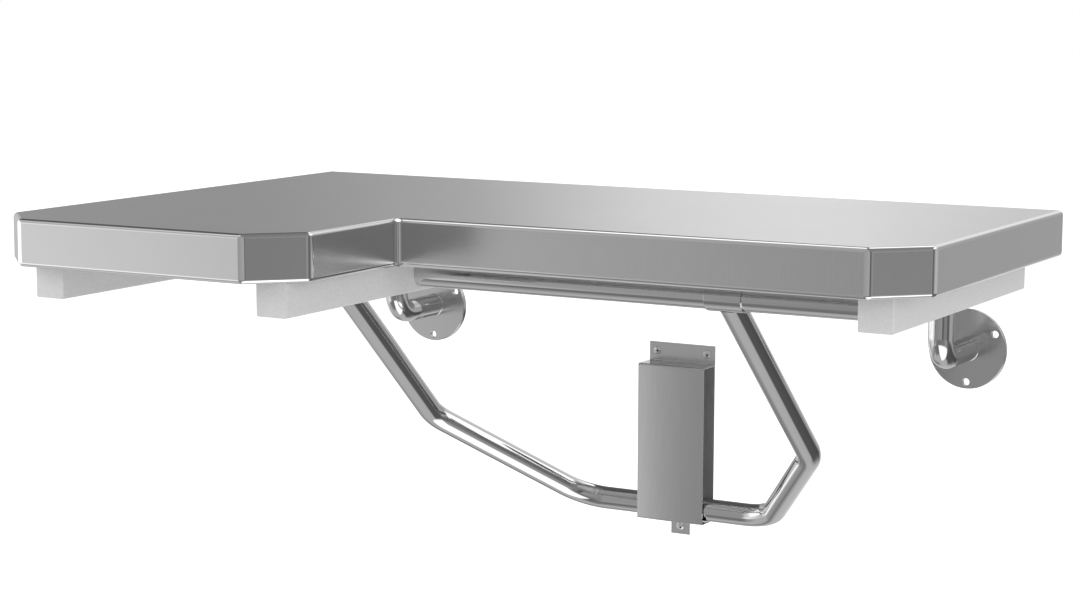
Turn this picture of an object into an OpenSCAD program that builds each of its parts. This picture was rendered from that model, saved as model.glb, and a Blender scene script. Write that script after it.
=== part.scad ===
// Wall-mounted fold-down seat: an L-shaped sheet steel pan on three square bars, hinged on two
// flanged wall posts, with a swing-down brace whose foot slides in a guide on the wall.
// Frame: origin at the left flange's back face on the wall, X along the wall, Y into the wall,
// Z up, so the seat stands out towards -Y. The seat is down, resting on its brace.

/* [Seat pan] */
// Width of the pan along the wall
seat_w = 800; // [760:1:900]
// Depth of the long part on the left, from the pan's back edge
seat_d = 541; // [480:1:600]
// Depth of the short part on the right
short_d = 368; // [340:1:420]
// Width of the long part
tongue_w = 320; // [300:1:380]
// Leg of the 45 degree cut at each outer front corner
corner_cut = 41; // [20:1:60]
// Height of the turned-down aprons
apron_h = 42.1; // [38:0.1:60]
// Thickness of the pan's sheet
seat_t = 1.6; // [1:0.1:2]
// Outer radius of the pan's folded edges
edge_r = 2.6; // [2.2:0.1:4]
// Width of the lip turned inwards along the foot of the aprons
lip_w = 12; // [8:1:20]
// Gap between the pan's back edge and the wall
wall_gap = 30; // [28:1:60]

/* [Bars] */
// Outer size of the square bars
bar = 31; // [30:0.5:40]
// Wall of the square bars
bar_t = 1.6; // [1.2:0.1:3]
// Outer corner radius of the square bars
bar_r = 1.8; // [1:0.1:3]
// Distance from the pan's sides to the outer bars
bar_side = 31.7; // [20:0.1:40]
// Distance from the long part's right side to the middle bar
bar_mid = 19.5; // [5:0.5:30]
// Distance from the pan's front edges to the bars' front ends
bar_front = 32.9; // [20:0.1:50]
// Distance from the pan's back edge to the bars' back ends
bar_rear = 9.7; // [5:0.1:20]
// Thickness of the plates that close the bars' ends
cap_t = 2; // [1:0.1:4]
// Thickness of the channels between the pan and the bars
riser_t = 1.5; // [1:0.1:2.5]

/* [Tubes] */
// Outer diameter of the round tubes
tube_d = 22.8; // [20:0.1:24]
// Wall of the round tubes
tube_t = 1.6; // [1:0.1:2.5]
// Distance from the right bar's front end back to the cross tube that carries the brace
cross_in = 35.9; // [30:0.1:60]

/* [Wall posts] */
// Distance from the pan's left side to the left post
post_x = 111.6; // [95:0.1:130]
// Distance from the pan's right side to the right post
post_side = 97.9; // [92:0.1:110]
// Distance from the wall to the hinge axis and the posts
post_off = 76.2; // [72:0.1:90]
// Height of the hinge axis above the flanges' centres
post_rise = 81; // [70:1:110]
// Bend radius of the posts' elbows
elbow_r = 21; // [18:0.5:30]
// Diameter of the wall flanges
flange_d = 76; // [72:1:100]
// Thickness of the wall flanges
flange_t = 4.8; // [3:0.1:8]
// Rounded rim of the wall flanges
flange_rim_r = 1; // [0.4:0.1:1.4]
// Circle through the flanges' screw holes
flange_pcd = 63; // [56:1:64]
// Number of screw holes in each flange
flange_holes = 3; // [3:1:6]
// Diameter of the flanges' screw holes
flange_hole_d = 7; // [4:0.1:7]
// Turn of the flanges' first screw hole, from the right downwards, in degrees
flange_turn = 90; // [0:5:120]
// Length of the hinge sleeves on the posts
hinge_l = 46; // [36:1:60]
// Wall of the hinge sleeves
hinge_t = 1.6; // [1.2:0.1:2]
// Wall of the plastic bushes in the hinge sleeves
bush_t = 1.4; // [1:0.1:1.6]

/* [Brace] */
// Distance between the brace's two legs
leg_gap = 405.4; // [380:0.1:420]
// Distance from the left post to the middle of the brace and the guide
brace_mid = 291.4; // [285:0.1:298]
// How far each leg runs back towards the wall before it turns inwards
leg_reach = 183; // [160:1:195]
// How far each leg drops before it turns inwards
leg_drop = 168.3; // [150:0.1:175]
// Distance between the brace's two bottom corners
foot_gap = 208; // [190:1:230]
// Height of the cross tube above the brace's foot
foot_drop = 263.8; // [255:0.1:280]
// Bend radius of the brace's corners
bend_r = 48; // [30:1:56]
// Length of the sleeves at the top of the legs
sleeve_l = 34.5; // [28:0.5:44]
// Wall of the sleeves at the top of the legs
sleeve_t = 1.3; // [1:0.1:2]
// Thickness of the plastic glide on the brace's foot
glide_t = 0.55; // [0.4:0.05:1.5]
// Length of the glide
glide_l = 44; // [30:1:60]

/* [Guide] */
// Width of the guide
guide_w = 72.5; // [64:0.5:90]
// Height of the guide's front plate
guide_h = 158.2; // [156:0.1:175]
// Thickness of the guide's sheet
guide_t = 1.2; // [1:0.1:1.6]
// Height of the guide's top tab
tab_h = 19; // [15:0.5:25]
// Width of the guide's bottom tab
foot_tab_w = 20.4; // [14:0.1:30]
// Height of the guide's bottom tab
foot_tab_h = 17.8; // [14:0.1:25]
// Thickness of the plate on the wall behind the guide
back_t = 0.8; // [0.6:0.1:1.5]
// Distance between the two screws of the top tab
screw_gap = 55; // [40:1:60]
// Diameter of the screw heads
screw_head_d = 8.2; // [6:0.1:9]
// Height of the screw heads
screw_head_h = 2.2; // [1.6:0.1:3]
// Diameter of the screw shanks
screw_d = 4; // [3:0.1:4.5]
// Length of the screws under the head
screw_l = 10; // [6:0.5:11]

/* [Hidden] */
$fn = 64;
// Overrun of cuts past a face
over = 1;
// How far a bent tube's straight runs reach into its bends, and how much wider the bends are, so that
// the runs end inside them
lap = 1.5;
swell = 0.12;
// Radial play of a tube that turns in a bush or a sleeve
play = 0.05;
// Gap between the brace's coped leg ends and their sleeves, the open pivot of the linkage
cope_gap = 0.3;
// Gap on each side of the glide in its guide, and under it when the seat is down
slide_gap = 0.3;
rest_gap = 0.2;
// Height left of the rear apron over the two notches that the folded brace lies in
notch_lip = 4.5;
// Width of those notches, and how far their middle lies inside the legs
notch_w = 66;
notch_in = 27;
// Setback of the guide's back plate from the guide's sides
back_side = 0.3;
// Inner radius of the guide's bends
guide_bend_r = 0.6;
// Height of the top tab's screws above the guide's top, and of the lower screw above its tab's end
tab_screw_up = 10.2;
foot_screw_up = 8.3;
// Rounded edge of the screw heads
head_edge_r = 1;
// Cross recess of the screw heads
recess_w = 1.2;
recess_l = 4.8;
recess_deep = 1.2;
// Setback of the hinge tubes' free ends past their sleeves
hinge_out = 3;
steel = "silver";
satin = "gainsboro";
plastic = "whitesmoke";

tube_r = tube_d / 2;
hinge_y = -post_off;
hinge_z = post_rise;
pan_left = -post_x;
pan_back = -wall_gap;
pan_bottom = hinge_z + bar / 2;
bar_x = [pan_left + bar_side + bar / 2, pan_left + tongue_w - bar_mid - bar / 2,
    pan_left + seat_w - bar_side - bar / 2];
bar_y0 = [pan_back - seat_d + bar_front, pan_back - seat_d + bar_front, pan_back - short_d + bar_front];
bar_y1 = pan_back - bar_rear;
cross_y = bar_y0[2] + cross_in;
post_xs = [0, pan_left + seat_w - post_side];
leg_x = [brace_mid - leg_gap / 2, brace_mid + leg_gap / 2];
glide_r = tube_r + play + glide_t;
foot_y = -(back_t + slide_gap + glide_r);
foot_z = hinge_z - foot_drop;
guide_in = 2 * (slide_gap + glide_r) + back_t;
guide_bottom = foot_z - glide_r - rest_gap - guide_t;
guide_top = guide_bottom + guide_h;
sleeve_r = tube_r + play + sleeve_t;
bush_r = tube_r + play + bush_t;
hinge_sleeve_r = bush_r + hinge_t;
brace_path = [[leg_x[0], cross_y, hinge_z], [leg_x[0], cross_y + leg_reach, hinge_z - leg_drop],
    [brace_mid - foot_gap / 2, foot_y, foot_z], [brace_mid + foot_gap / 2, foot_y, foot_z],
    [leg_x[1], cross_y + leg_reach, hinge_z - leg_drop], [leg_x[1], cross_y, hinge_z]];
screw_spots = [[brace_mid - screw_gap / 2, guide_top + tab_screw_up],
    [brace_mid + screw_gap / 2, guide_top + tab_screw_up],
    [brace_mid, guide_bottom - foot_tab_h + foot_screw_up]];

function unit(v) = v / norm(v);
function turn_at(p, i) = acos(unit(p[i] - p[i - 1]) * unit(p[i + 1] - p[i]));
function trim_at(p, i, r) = (i == 0 || i == len(p) - 1) ? 0 : r * tan(turn_at(p, i) / 2);

// Square profile with round corners, centred
module round_square(w, r) {
    for (flip = [0, 90])
        rotate(flip)
            square([w, w - 2 * r], center = true);
    for (x = [-1, 1], y = [-1, 1])
        translate([x * (w / 2 - r), y * (w / 2 - r)])
            circle(r);
}

// Rod from a to b, or the bore of a tube when it runs past its ends
module rod(a, b, r, past = 0) {
    d = b - a;
    translate(a)
        rotate([0, acos(d[2] / norm(d)), atan2(d[1], d[0])])
            translate([0, 0, -past])
                cylinder(h = norm(d) + 2 * past, r = r);
}

// Rod along X between two places
module rod_x(x0, x1, y, z, r, past = 0) {
    rod([x0, y, z], [x1, y, z], r, past);
}

// Quarter of a torus or less, from the direction u at the corner p towards the direction v
module bend(p, u, v, r, bend) {
    angle = acos(u * v);
    axis = unit(cross(u, v));
    centre = p - u * bend * tan(angle / 2) + cross(axis, u) * bend;
    tilt = acos(axis[2]);
    spin = atan2(axis[1], axis[0]);
    // where the start of the bend lies, seen in the bend's own plane
    start = -cross(axis, u);
    flat_x = [cos(spin) * cos(tilt), sin(spin) * cos(tilt), -sin(tilt)];
    flat_y = [-sin(spin), cos(spin), 0];
    translate(centre)
        rotate([0, tilt, spin])
            rotate(atan2(start * flat_y, start * flat_x))
                rotate_extrude(angle = angle)
                    translate([bend, 0])
                        circle(r);
}

// Round bar bent along a list of corners
module bent_rod(p, r, bend, past = 0) {
    for (i = [0:len(p) - 2]) {
        u = unit(p[i + 1] - p[i]);
        first = i == 0 ? -past : trim_at(p, i, bend) - lap;
        last = i == len(p) - 2 ? -past : trim_at(p, i + 1, bend) - lap;
        rod(p[i] + u * first, p[i + 1] - u * last, r);
    }
    for (i = [1:len(p) - 2])
        bend(p[i], unit(p[i] - p[i - 1]), unit(p[i + 1] - p[i]), r + swell, bend);
}

// Hollow tube bent along a list of corners
module bent_tube(p, bend) {
    difference() {
        bent_rod(p, tube_r, bend);
        bent_rod(p, tube_r - tube_t, bend, over);
    }
}

module tube_x(x0, x1, y, z, outer, inner) {
    difference() {
        rod_x(x0, x1, y, z, outer);
        rod_x(x0, x1, y, z, inner, over);
    }
}

// Rectangle with its two upper corners rounded
module rounded_top(w, h, r) {
    square([w, h - r]);
    translate([r, 0])
        square([w - 2 * r, h]);
    for (x = [r, w - r])
        translate([x, h - r])
            circle(r);
}

// Block with its top edges rounded: w across, d deep, h high, from zero
module rounded_block(w, d, h, r) {
    intersection() {
        translate([0, d, 0])
            rotate([90, 0, 0])
                linear_extrude(d)
                    rounded_top(w, h, r);
        rotate([90, 0, 90])
            linear_extrude(w)
                rounded_top(d, h, r);
    }
}

// Outline of the pan, drawn in by i from its sides and front and by back_i from its back edge, with
// its outer front corners cut at 45 degrees
function pan_outline(i, back_i) = let (
    left = pan_left + i,
    right = pan_left + seat_w - i,
    tongue = pan_left + tongue_w - i,
    front = pan_back - seat_d + i,
    short_front = pan_back - short_d + i,
    back = pan_back - back_i,
    cut = corner_cut - i * (2 - sqrt(2))
) [[left, back], [left, front + cut], [left + cut, front], [tongue - cut, front], [tongue, front + cut],
    [tongue, short_front], [right - cut, short_front], [right, short_front + cut], [right, back]];

// The pan's outer form, or with an inset its hollow, which stands on the lips
module pan_form(inset) {
    low = inset > 0 ? seat_t : 0;
    h = apron_h - inset - low;
    r = edge_r - inset;
    intersection() {
        translate([pan_left + inset, pan_back - seat_d + inset, pan_bottom + low]) {
            rounded_block(tongue_w - 2 * inset, seat_d - 2 * inset, h, r);
            translate([0, seat_d - short_d, 0])
                rounded_block(seat_w - 2 * inset, short_d - 2 * inset, h, r);
        }
        translate([0, 0, pan_bottom - over])
            linear_extrude(apron_h + 2 * over)
                polygon(pan_outline(inset, inset));
    }
}

module seat_pan() {
    color(satin)
        difference() {
            pan_form(0);
            pan_form(seat_t);
            translate([0, 0, pan_bottom - over])
                linear_extrude(seat_t + 2 * over)
                    polygon(pan_outline(lip_w, seat_t));
            // notches for the folded brace
            for (x = [leg_x[0] + notch_in, leg_x[1] - notch_in])
                translate([x - notch_w / 2, pan_back - seat_t - over, pan_bottom - over])
                    cube([notch_w, seat_t + 2 * over, apron_h - notch_lip + over]);
        }
}

// Channel that carries the pan's sheet on a bar, open below
module riser(i) {
    w = bar - 2 * bar_r;
    h = apron_h - seat_t;
    color(satin)
        translate([bar_x[i] - w / 2, bar_y0[i], pan_bottom])
            difference() {
                cube([w, bar_y1 - bar_y0[i], h]);
                translate([riser_t, -over, -over])
                    cube([w - 2 * riser_t, bar_y1 - bar_y0[i] + 2 * over, h - riser_t + over]);
            }
}

// Square tube between its end plates, bored on the sides in walls for the tubes at the places in ys;
// walls holds -1 for the left wall and 1 for the right one
module square_bar(i, walls, ys) {
    color(satin)
        difference() {
            translate([bar_x[i], bar_y1 - cap_t, hinge_z])
                rotate([90, 0, 0])
                    linear_extrude(bar_y1 - bar_y0[i] - 2 * cap_t)
                        difference() {
                            round_square(bar, bar_r);
                            square(bar - 2 * bar_t, center = true);
                        }
            for (side = walls, y = ys)
                rod_x(bar_x[i], bar_x[i] + side * bar / 2, y, hinge_z, tube_r + play, over);
        }
}

// Plate that closes a bar, its outer face at y, the bar's way at 1 for a front and -1 for a back end
module bar_cap(i, y, way) {
    color(satin)
        translate([bar_x[i], way > 0 ? y + cap_t : y, hinge_z])
            rotate([90, 0, 0])
                linear_extrude(cap_t)
                    round_square(bar, bar_r);
}

module riser_left() {
    riser(0);
}

module riser_middle() {
    riser(1);
}

module riser_right() {
    riser(2);
}

module bar_left() {
    square_bar(0, [1], [cross_y, hinge_y]);
}

module bar_middle() {
    square_bar(1, [-1, 1], [cross_y]);
}

module bar_right() {
    square_bar(2, [-1], [cross_y, hinge_y]);
}

module front_caps() {
    for (i = [0:len(bar_x) - 1])
        bar_cap(i, bar_y0[i], 1);
}

module rear_caps() {
    for (i = [0:len(bar_x) - 1])
        bar_cap(i, bar_y1, -1);
}

// Tube across the bars that carries the brace; it ends inside the outer bars
module cross_tube() {
    color(steel)
        tube_x(bar_x[0] - bar / 2 + bar_t, bar_x[2] + bar / 2 - bar_t, cross_y, hinge_z,
            tube_r, tube_r - tube_t);
}

// Hinge tube from inside the outer bar to just past the post's sleeve
module hinge_tube_left() {
    color(steel)
        tube_x(bar_x[0] - bar / 2 + bar_t, post_xs[0] + hinge_l / 2 + hinge_out, hinge_y, hinge_z,
            tube_r, tube_r - tube_t);
}

module hinge_tube_right() {
    color(steel)
        tube_x(post_xs[1] - hinge_l / 2 - hinge_out, bar_x[2] + bar / 2 - bar_t, hinge_y, hinge_z,
            tube_r, tube_r - tube_t);
}

module brace_sleeve(side) {
    color(steel)
        tube_x(leg_x[side] - sleeve_l / 2, leg_x[side] + sleeve_l / 2, cross_y, hinge_z,
            sleeve_r, tube_r + play);
}

module brace_sleeve_left() {
    brace_sleeve(0);
}

module brace_sleeve_right() {
    brace_sleeve(1);
}

// Round wall plate with a rounded rim and a ring of screw holes, its back on the wall
module flange(side) {
    color(satin)
        translate([post_xs[side], 0, 0])
            difference() {
                rotate([90, 0, 0])
                    rotate_extrude() {
                        square([flange_d / 2, flange_t - flange_rim_r]);
                        square([flange_d / 2 - flange_rim_r, flange_t]);
                        translate([flange_d / 2 - flange_rim_r, flange_t - flange_rim_r])
                            circle(flange_rim_r);
                    }
                for (k = [0:flange_holes - 1])
                    rotate([0, flange_turn + k * 360 / flange_holes, 0])
                        rod([flange_pcd / 2, 0, 0], [flange_pcd / 2, -flange_t, 0], flange_hole_d / 2, over);
            }
}

module flange_left() {
    flange(0);
}

module flange_right() {
    flange(1);
}

// Tube out of the flange, round an elbow and up to the hinge sleeve that it is coped to
module post(side) {
    x = post_xs[side];
    color(steel)
        difference() {
            bent_tube([[x, -flange_t, 0], [x, hinge_y, 0], [x, hinge_y, hinge_z]], elbow_r);
            rod_x(x - hinge_l / 2, x + hinge_l / 2, hinge_y, hinge_z, hinge_sleeve_r, over);
        }
}

module post_left() {
    post(0);
}

module post_right() {
    post(1);
}

module hinge_sleeve(side) {
    color(steel)
        tube_x(post_xs[side] - hinge_l / 2, post_xs[side] + hinge_l / 2, hinge_y, hinge_z,
            hinge_sleeve_r, bush_r);
}

module hinge_sleeve_left() {
    hinge_sleeve(0);
}

module hinge_sleeve_right() {
    hinge_sleeve(1);
}

module hinge_bush(side) {
    color(plastic)
        tube_x(post_xs[side] - hinge_l / 2, post_xs[side] + hinge_l / 2, hinge_y, hinge_z,
            bush_r, tube_r + play);
}

module hinge_bush_left() {
    hinge_bush(0);
}

module hinge_bush_right() {
    hinge_bush(1);
}

// Quarter bend of a sheet at the corner p, from the direction u to the direction v
module sheet_bend(p, u, v, inner, t) {
    centre = p + (v - u) * (inner + t / 2);
    outer = inner + t;
    intersection() {
        translate(centre)
            difference() {
                circle(outer);
                circle(inner);
            }
        polygon([centre, centre - v * outer, centre + (u - v) * outer, centre + u * outer]);
    }
}

// Bent sheet seen from its edge, along a list of corners on its middle line, all turns square
module sheet_strip(p, inner, t) {
    trim = inner + t / 2;
    for (i = [0:len(p) - 2]) {
        u = unit(p[i + 1] - p[i]);
        side = [-u[1], u[0]] * t / 2;
        a = p[i] + u * (i == 0 ? 0 : trim);
        b = p[i + 1] - u * (i == len(p) - 2 ? 0 : trim);
        polygon([a - side, b - side, b + side, a + side]);
    }
    for (i = [1:len(p) - 2])
        sheet_bend(p[i], unit(p[i] - p[i - 1]), unit(p[i + 1] - p[i]), inner, t);
}

// Sheet bent out from its top tab, down in front of the brace's foot, back to the wall and down into
// its bottom tab
module guide_bracket() {
    half = guide_t / 2;
    front = -(guide_in + half);
    bend_end = -(guide_bend_r + guide_t);
    color(satin)
        difference() {
            union() {
                translate([brace_mid - guide_w / 2, 0, 0])
                    rotate([90, 0, 90])
                        linear_extrude(guide_w)
                            sheet_strip([[-half, guide_top + tab_h], [-half, guide_top - half],
                                [front, guide_top - half], [front, guide_bottom + half],
                                [bend_end, guide_bottom + half]], guide_bend_r, guide_t);
                translate([brace_mid - foot_tab_w / 2, 0, 0])
                    rotate([90, 0, 90])
                        linear_extrude(foot_tab_w)
                            sheet_strip([[bend_end - guide_t, guide_bottom + half],
                                [-half, guide_bottom + half], [-half, guide_bottom - foot_tab_h]],
                                guide_bend_r, guide_t);
            }
            for (s = screw_spots)
                rod([s[0], 0, s[1]], [s[0], -guide_t, s[1]], screw_d / 2 + play, over);
        }
}

// Plate on the wall that the glide runs down, from the guide's top to behind the foot at rest
module guide_back_plate() {
    color(satin)
        translate([brace_mid - guide_w / 2 + back_side, -back_t, foot_z])
            cube([guide_w - 2 * back_side, back_t, guide_top - guide_t - foot_z]);
}

// Screws with round heads and a cross recess
module guide_screws() {
    color(steel)
        for (s = screw_spots)
            translate([s[0], -guide_t, s[1]])
                rotate([90, 0, 0])
                    difference() {
                        rotate_extrude() {
                            translate([0, -screw_l])
                                square([screw_d / 2, screw_l]);
                            square([screw_head_d / 2, screw_head_h - head_edge_r]);
                            square([screw_head_d / 2 - head_edge_r, screw_head_h]);
                            translate([screw_head_d / 2 - head_edge_r, screw_head_h - head_edge_r])
                                circle(head_edge_r);
                        }
                        for (turn = [0, 90])
                            rotate(turn)
                                translate([-recess_l / 2, -recess_w / 2, screw_head_h - recess_deep])
                                    cube([recess_l, recess_w, recess_deep + over]);
                    }
}

// Plastic sleeve on the brace's foot, which runs up and down in the guide
module glide() {
    color(plastic)
        tube_x(brace_mid - glide_l / 2, brace_mid + glide_l / 2, foot_y, foot_z, glide_r, tube_r + play);
}

// One tube: down a leg, in to the foot, along it and up again; the leg ends are coped to their sleeves
module brace_tube() {
    color(steel)
        difference() {
            bent_tube(brace_path, bend_r);
            for (x = leg_x)
                rod_x(x - sleeve_l / 2, x + sleeve_l / 2, cross_y, hinge_z, sleeve_r + cope_gap);
        }
}

seat_pan();
riser_left();
riser_middle();
riser_right();
bar_left();
bar_middle();
bar_right();
front_caps();
rear_caps();
cross_tube();
hinge_tube_left();
hinge_tube_right();
brace_sleeve_left();
brace_sleeve_right();
flange_left();
flange_right();
post_left();
post_right();
hinge_sleeve_left();
hinge_sleeve_right();
hinge_bush_left();
hinge_bush_right();
guide_bracket();
guide_back_plate();
guide_screws();
glide();
brace_tube();
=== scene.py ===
"""Dresses the fold-down wall seat: smooth sheet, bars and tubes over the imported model, finishes and a studio."""

import math

import bmesh
import bpy
from bpy.props import BoolProperty, FloatProperty, FloatVectorProperty, IntProperty, PointerProperty
from bpy.types import Operator, Panel, PropertyGroup
from mathutils import Matrix, Vector


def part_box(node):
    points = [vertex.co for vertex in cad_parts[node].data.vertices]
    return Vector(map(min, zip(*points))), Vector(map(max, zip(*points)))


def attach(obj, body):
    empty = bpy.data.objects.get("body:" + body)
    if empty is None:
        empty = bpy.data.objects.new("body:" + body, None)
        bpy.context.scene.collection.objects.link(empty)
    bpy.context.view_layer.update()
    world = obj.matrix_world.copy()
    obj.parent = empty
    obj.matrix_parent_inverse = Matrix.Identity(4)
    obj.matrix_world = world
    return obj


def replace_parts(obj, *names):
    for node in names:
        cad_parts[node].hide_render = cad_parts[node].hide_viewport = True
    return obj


bl_info = {
    "name": "Fold-down wall seat",
    "version": (1, 0, 0),
    "blender": (4, 5, 0),
    "location": "View3D > Sidebar > Wall Seat",
    "description": "Builds the pieces, finishes and studio of a fold-down wall seat",
    "category": "Add Mesh",
}

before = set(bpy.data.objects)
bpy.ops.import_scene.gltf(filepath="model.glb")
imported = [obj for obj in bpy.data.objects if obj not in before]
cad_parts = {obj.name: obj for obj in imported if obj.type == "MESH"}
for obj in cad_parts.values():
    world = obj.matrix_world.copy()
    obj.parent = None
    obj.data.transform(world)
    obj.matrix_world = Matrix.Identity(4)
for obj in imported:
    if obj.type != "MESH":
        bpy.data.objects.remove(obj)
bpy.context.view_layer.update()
SIDES = ("left", "right")
PAN_LOW, PAN_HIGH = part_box("seat_pan")
BAR_BOXES = {side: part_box("bar_" + side) for side in ("left", "middle", "right")}
CROSS_LOW, CROSS_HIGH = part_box("cross_tube")
HINGE_BOXES = {side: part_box("hinge_tube_" + side) for side in SIDES}
FLANGE_BOXES = {side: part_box("flange_" + side) for side in SIDES}
SLEEVE_BOXES = {side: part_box("brace_sleeve_" + side) for side in SIDES}
GLIDE_LOW, GLIDE_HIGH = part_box("glide")
GUIDE_LOW, GUIDE_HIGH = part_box("guide_bracket")

# Axes that the pieces share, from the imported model
HINGE_Y = (HINGE_BOXES["left"][0].y + HINGE_BOXES["left"][1].y) / 2
HINGE_Z = (HINGE_BOXES["left"][0].z + HINGE_BOXES["left"][1].z) / 2
CROSS_Y = (CROSS_LOW.y + CROSS_HIGH.y) / 2
FOOT_Y = (GLIDE_LOW.y + GLIDE_HIGH.y) / 2
FOOT_Z = (GLIDE_LOW.z + GLIDE_HIGH.z) / 2
GUIDE_X = (GUIDE_LOW.x + GUIDE_HIGH.x) / 2


def length(name, description, default, smallest=0.0):
    """A length property in metres."""
    return FloatProperty(name=name, description=description, default=default, min=smallest,
                         subtype="DISTANCE", unit="LENGTH", precision=5)


def colour(name, description, default):
    """A colour property."""
    return FloatVectorProperty(name=name, description=description, default=default, size=3,
                               min=0.0, max=1.0, subtype="COLOR")


def share(name, description, default, largest=1.0):
    """A number property from zero to a largest value."""
    return FloatProperty(name=name, description=description, default=default, min=0.0, max=largest,
                         subtype="FACTOR")


def watts(name, description, default):
    """A lamp's power in watts."""
    return FloatProperty(name=name, description=description, default=default, min=0.0, unit="POWER")


class PanSizes(PropertyGroup):
    """Sizes of the seat pan"""

    width: length("Width", "Width of the pan along the wall", PAN_HIGH.x - PAN_LOW.x)
    depth: length("Depth", "Depth of the long part on the left", PAN_HIGH.y - PAN_LOW.y)
    height: length("Apron height", "Height of the turned-down aprons", PAN_HIGH.z - PAN_LOW.z)
    short_depth: length("Short depth", "Depth of the short part on the right", 0.368)
    long_width: length("Long part's width", "Width of the long part", 0.320)
    corner_cut: length("Corner cut", "Leg of the cut across each outer front corner", 0.041)
    sheet: length("Sheet", "Thickness of the pan's sheet", 0.0016)
    edge: length("Edge radius", "Outer radius of the folded edges", 0.0040)
    lip: length("Lip", "Width of the lip turned inwards under the aprons", 0.012)
    notch_width: length("Notch width", "Width of the rear notches for the folded brace", 0.066)
    notch_inset: length("Notch inset", "How far the middle of a notch lies inside its leg's", 0.027)
    notch_lip: length("Notch lip", "Height of the rear apron left over the notches", 0.0045)


class BarSizes(PropertyGroup):
    """Sizes of the square bars and the round tubes they carry"""

    size: length("Bar", "Outer size of the square bars", 0.031)
    wall: length("Wall", "Wall of the square bars", 0.0016)
    corner: length("Corner radius", "Outer corner radius of the square bars", 0.0018)
    plate: length("End plate", "Thickness of the plates that close the bars", 0.002)
    tube: length("Tube diameter", "Outer diameter of the round tubes", 0.0228)
    tube_wall: length("Tube wall", "Wall of the round tubes", 0.0016)
    play: length("Play", "Radial play of a tube that turns in a sleeve", 0.00005)
    sleeve_wall: length("Sleeve wall", "Wall of the sleeves at the top of the legs", 0.0013)


class BraceSizes(PropertyGroup):
    """Sizes of the brace that holds the seat up"""

    leg_gap: length("Leg gap", "Distance between the legs", 0.4054)
    leg_reach: length("Leg reach", "How far each leg runs back before it turns inwards", 0.183)
    leg_drop: length("Leg drop", "How far each leg drops before it turns inwards", 0.1683)
    foot_gap: length("Foot gap", "Distance between the bottom corners", 0.208)
    bend: length("Bend radius", "Bend radius of the corners", 0.048)
    pivot_gap: length("Pivot gap", "Gap between a leg's shaped end and its sleeve", 0.0003)
    glide: length("Glide", "Thickness of the plastic glide on the foot", 0.00055)


class WallSizes(PropertyGroup):
    """Sizes of the posts, flanges and guide on the wall"""

    elbow: length("Elbow radius", "Bend radius of the posts' elbows", 0.021)
    hinge_length: length("Hinge sleeve", "Length of the hinge sleeves", 0.046)
    hinge_wall: length("Hinge sleeve wall", "Wall of the hinge sleeves", 0.0016)
    bush: length("Bush wall", "Wall of the plastic bushes", 0.0014)
    flange: length("Flange diameter", "Diameter of the wall flanges", 0.076)
    flange_sheet: length("Flange thickness", "Thickness of the wall flanges", 0.0048)
    flange_rim: length("Flange rim", "Rounded rim of the wall flanges", 0.001)
    hole_circle: length("Hole circle", "Circle through the flanges' screw holes", 0.063)
    hole: length("Hole diameter", "Diameter of the flanges' screw holes", 0.007)
    holes: IntProperty(name="Holes", description="Number of screw holes in each flange", default=3, min=1)
    hole_turn: FloatProperty(name="Hole turn", description="Turn of the first hole, from the right downwards",
                             default=math.radians(90.0), subtype="ANGLE")
    weld: length("Weld", "Size of the ground weld round a post's foot", 0.0004)
    guide_sheet: length("Guide sheet", "Thickness of the guide's sheet", 0.0012)
    guide_bend: length("Guide bend", "Inner radius of the guide's bends", 0.0006)
    guide_bow: length("Guide's bow", "How far the middle of the guide's front stands out", 0.0011)
    tab: length("Top tab", "Height of the guide's top tab", 0.019)
    foot_tab: length("Bottom tab", "Height of the guide's bottom tab", 0.0178)
    foot_tab_width: length("Bottom tab's width", "Width of the guide's bottom tab", 0.0204)
    screw_gap: length("Screw gap", "Distance between the two upper screws", 0.055)
    tab_screw: length("Upper screws' height", "Height of the upper screws over the guide's top", 0.0102)
    foot_screw: length("Lower screw's height", "Height of the lower screw over its tab's end", 0.0083)
    head: length("Screw head", "Diameter of the screw heads", 0.0082)
    head_height: length("Head height", "Height of the screw heads", 0.0022)
    shank: length("Shank", "Diameter of the screw shanks", 0.004)
    screw_length: length("Screw length", "Length of the screws under the head", 0.010)


class Finishes(PropertyGroup):
    """Colours and roughness of the metal and plastic"""

    pan: colour("Brushed pan", "Colour of the brushed sheet", (0.66, 0.66, 0.66))
    # The folds' tone is lighter than the pan's: a painted highlight along the edges, beside their real lower
    # roughness
    folds: colour("Folds", "Colour of the polished folds of the sheet", (0.80, 0.80, 0.80))
    # The underside is a dull unbrushed sheet, and its tone, lighter than the pan's, is painted light under the seat
    underside: colour("Sheet underside", "Colour of the dull sheet under the seat", (0.74, 0.74, 0.74))
    bars: colour("Satin bars", "Colour of the bead-blasted square bars", (0.80, 0.80, 0.80))
    tubes: colour("Polished tubes", "Colour of the polished round tubes", (0.62, 0.62, 0.625))
    fittings: colour("Satin fittings", "Colour of the flanges and the guide", (0.63, 0.63, 0.635))
    # The back plate's tone is darkened below the fittings' as painted shade, for the shade inside the guide
    back_plate: colour("Guide's back plate", "Colour of the plate behind the guide", (0.44, 0.44, 0.44))
    screws: colour("Screws", "Colour of the bright screws", (0.72, 0.72, 0.72))
    plastic: colour("Plastic", "Colour of the glide and the bushes", (0.80, 0.80, 0.79))
    pan_rough: share("Pan roughness", "Roughness of the brushed sheet", 0.22)
    folds_rough: share("Fold roughness", "Roughness of the polished folds", 0.06)
    underside_rough: share("Underside roughness", "Roughness of the dull underside", 0.45)
    bars_rough: share("Bar roughness", "Roughness of the bead-blasted bars", 0.50)
    tubes_rough: share("Tube roughness", "Roughness of the polished tubes", 0.07)
    fittings_rough: share("Fitting roughness", "Roughness of the flanges and the guide", 0.20)
    plate_rough: share("Back plate roughness", "Roughness of the guide's back plate", 0.35)
    screws_rough: share("Screw roughness", "Roughness of the bright screws", 0.09)


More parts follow.
